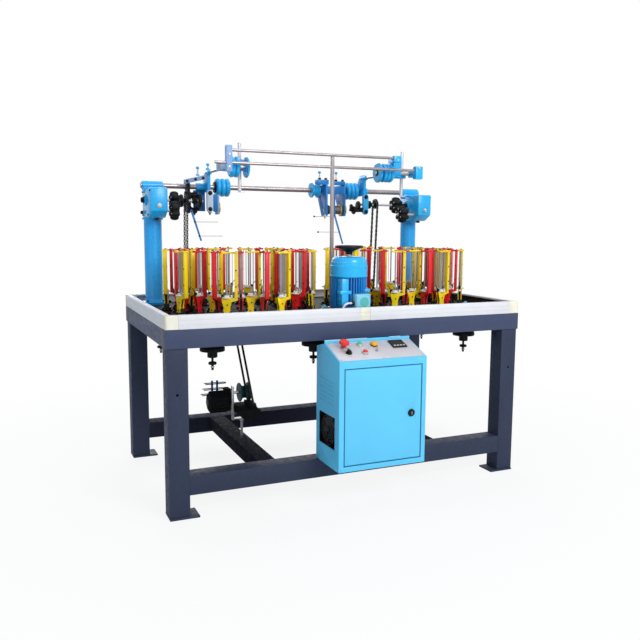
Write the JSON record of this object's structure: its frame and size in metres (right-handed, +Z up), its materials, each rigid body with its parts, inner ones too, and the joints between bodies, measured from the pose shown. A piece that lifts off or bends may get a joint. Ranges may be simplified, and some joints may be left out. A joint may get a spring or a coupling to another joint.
{
  "type": "kumihimo braiding machine",
  "caption": "Two-head kumihimo braiding machine: two rings of yellow and red bobbin carriers on a steel table with a motor, a take-up gear above and a control cabinet below.",
  "frame": {"origin": "on the floor, under the centre of the whole machine's box", "axes": "+X to the machine's right as its operator sees it, +Y away from the operator, +Z up"},
  "size_m": [1.63, 1.134, 1.492],
  "materials": {
    "navy": "semi-gloss",
    "azure": "gloss",
    "sky": "semi-gloss",
    "rim": "satin",
    "plate": "satin",
    "deck": "oiled",
    "chrome": "polished",
    "yellow": "gloss",
    "red": "gloss",
    "cream": "matt",
    "black_metal": "satin",
    "black": "satin",
    "amber": "gloss",
    "green": "gloss",
    "red_plastic": "gloss",
    "rubber": "matt",
    "teal": "semi-gloss",
    "zinc": "satin"
  },
  "bodies": {
    "frame": {"legs": "navy", "foot_plates": "navy", "top_beams": "navy", "stretchers": "navy", "cross_beams": "navy", "rim_profiles": "rim", "rim_caps": "cream", "track_plate": "deck", "inner_tracks": "deck", "gear_islands": "deck", "gear_base_plate": "plate", "yellow_carriers": "yellow", "red_carriers": "red", "carrier_spindles": "chrome", "bobbin_seats": "cream", "columns": "azure", "gearbox_housings": "azure", "gearbox_fittings": "black_metal", "main_rod": "chrome", "chains_and_belt": "black_metal", "take_up_brackets": "azure", "take_up_plates": "azure", "upper_rods": "chrome", "guide_rods": "chrome", "upper_brackets": "azure", "motor_body": "azure", "motor_cowl": "azure", "terminal_box": "azure", "motor_conduit": "black", "cabinet_shell": "sky", "control_gear": "black", "control_panel": "zinc", "under_bearings": "plate", "tension_bracket": "chrome", "gear_motor": "azure", "hold_down_brackets": "azure"},
    "handwheel": {"handwheel": "black"},
    "drive_shaft_left": {"drive_shaft_left": "black_metal"},
    "drive_shaft_right": {"drive_shaft_right": "black_metal"},
    "clutch_knob_left": {"clutch_knob_left": "black_metal"},
    "clutch_knob_right": {"clutch_knob_right": "black_metal"},
    "take_up_rollers": {"take_up_rollers": "azure"},
    "press_roller_left": {"press_roller_left": "azure"},
    "press_roller_right": {"press_roller_right": "azure"},
    "upper_roller_left": {"upper_roller_left": "azure"},
    "upper_roller_right": {"upper_roller_right": "azure"},
    "pressure_screw_1": {"pressure_screw_1": "black"},
    "pressure_screw_2": {"pressure_screw_2": "black"},
    "pressure_screw_3": {"pressure_screw_3": "black"},
    "pressure_screw_4": {"pressure_screw_4": "black"},
    "stop_lever_left": {"stop_lever_left": "azure"},
    "stop_lever_right": {"stop_lever_right": "azure"},
    "cabinet_door": {"cabinet_door": "sky"},
    "door_lock": {"door_lock": "black"},
    "emergency_stop": {"emergency_stop": "red_plastic"},
    "start_button": {"start_button": "green"},
    "stop_button": {"stop_button": "red_plastic"},
    "selector_knob": {"selector_knob": "black"},
    "toggle_switch": {"toggle_switch": "chrome"},
    "lower_pulley": {"lower_pulley": "teal"}
  },
  "joints": [
    {"name": "handwheel_spin", "type": "hinge", "parent": "frame", "child": "handwheel", "pos_m": [0.005, -0.243, 1.03], "axis": [0, 0, 1], "continuous": true},
    {"name": "drive_left_spin", "type": "hinge", "parent": "frame", "child": "drive_shaft_left", "pos_m": [-0.6, 0.392, 1.252], "axis": [1, 0, 0], "continuous": true},
    {"name": "drive_right_spin", "type": "hinge", "parent": "frame", "child": "drive_shaft_right", "pos_m": [0.6, 0.392, 1.252], "axis": [1, 0, 0], "continuous": true},
    {"name": "clutch_left_turn", "type": "hinge", "parent": "frame", "child": "clutch_knob_left", "pos_m": [-0.62, 0.317, 1.203], "axis": [1, 0, 0], "continuous": true},
    {"name": "clutch_right_turn", "type": "hinge", "parent": "frame", "child": "clutch_knob_right", "pos_m": [0.584, 0.317, 1.203], "axis": [1, 0, 0], "continuous": true},
    {"name": "take_up_spin", "type": "hinge", "parent": "frame", "child": "take_up_rollers", "pos_m": [0, 0.442, 1.322], "axis": [1, 0, 0], "continuous": true},
    {"name": "press_left_spin", "type": "hinge", "parent": "frame", "child": "press_roller_left", "pos_m": [-0.402, 0.387, 1.222], "axis": [1, 0, 0], "continuous": true},
    {"name": "press_right_spin", "type": "hinge", "parent": "frame", "child": "press_roller_right", "pos_m": [0.22, 0.387, 1.222], "axis": [1, 0, 0], "continuous": true},
    {"name": "upper_left_spin", "type": "hinge", "parent": "frame", "child": "upper_roller_left", "pos_m": [-0.43, -0.001, 1.386], "axis": [1, 0, 0], "continuous": true},
    {"name": "upper_right_spin", "type": "hinge", "parent": "frame", "child": "upper_roller_right", "pos_m": [0.31, -0.001, 1.386], "axis": [1, 0, 0], "continuous": true},
    {"name": "lower_pulley_spin", "type": "hinge", "parent": "frame", "child": "lower_pulley", "pos_m": [-0.375, 0.057, 0.385], "axis": [1, 0, 0], "continuous": true},
    {"name": "stop_lever_left_swing", "type": "hinge", "parent": "frame", "child": "stop_lever_left", "pos_m": [-0.53, 0.362, 1.204], "axis": [0, 1, 0], "range_deg": [-12, 12], "stiffness_Nm_per_rad": 0.6},
    {"name": "stop_lever_right_swing", "type": "hinge", "parent": "frame", "child": "stop_lever_right", "pos_m": [0.206, 0.348, 1.196], "axis": [0, 1, 0], "range_deg": [-12, 12], "stiffness_Nm_per_rad": 0.6},
    {"name": "pressure_screw_1_turn", "type": "slide", "parent": "frame", "child": "pressure_screw_1", "axis": [0, 0, 1], "range_m": [0, 0.008]},
    {"name": "pressure_screw_2_turn", "type": "slide", "parent": "frame", "child": "pressure_screw_2", "axis": [0, 0, 1], "range_m": [0, 0.008]},
    {"name": "pressure_screw_3_turn", "type": "slide", "parent": "frame", "child": "pressure_screw_3", "axis": [0, 0, 1], "range_m": [0, 0.008]},
    {"name": "pressure_screw_4_turn", "type": "slide", "parent": "frame", "child": "pressure_screw_4", "axis": [0, 0, 1], "range_m": [0, 0.008]},
    {"name": "door_swing", "type": "hinge", "parent": "frame", "child": "cabinet_door", "pos_m": [-0.157, -0.559, 0.388], "axis": [0, 0, -1], "range_deg": [0, 110]},
    {"name": "door_lock_turn", "type": "hinge", "parent": "cabinet_door", "child": "door_lock", "pos_m": [0.141, -0.559, 0.385], "axis": [0, 1, 0], "range_deg": [0, 90]},
    {"name": "emergency_stop_press", "type": "slide", "parent": "frame", "child": "emergency_stop", "axis": [0, -0.3469, 0.9379], "range_m": [-0.005, 0], "stiffness_N_per_m": 1500},
    {"name": "start_press", "type": "slide", "parent": "frame", "child": "start_button", "axis": [0, -0.3469, 0.9379], "range_m": [-0.0025, 0], "stiffness_N_per_m": 900},
    {"name": "stop_press", "type": "slide", "parent": "frame", "child": "stop_button", "axis": [0, -0.3469, 0.9379], "range_m": [-0.0025, 0], "stiffness_N_per_m": 900},
    {"name": "selector_turn", "type": "hinge", "parent": "frame", "child": "selector_knob", "pos_m": [-0.119, -0.50925, 0.63993], "axis": [0, -0.3469, 0.9379], "range_deg": [-45, 45]},
    {"name": "toggle_throw", "type": "hinge", "parent": "frame", "child": "toggle_switch", "pos_m": [0.012, -0.49678, 0.64081], "axis": [1, 0, 0], "range_deg": [-20, 20]}
  ],
  "couplings": [
    {"joint": "drive_left_spin", "follows": "handwheel_spin", "ratio": 0.05},
    {"joint": "drive_right_spin", "follows": "handwheel_spin", "ratio": -0.05},
    {"joint": "take_up_spin", "follows": "handwheel_spin", "ratio": 0.02},
    {"joint": "press_left_spin", "follows": "handwheel_spin", "ratio": -0.04},
    {"joint": "press_right_spin", "follows": "handwheel_spin", "ratio": -0.04}
  ]
}
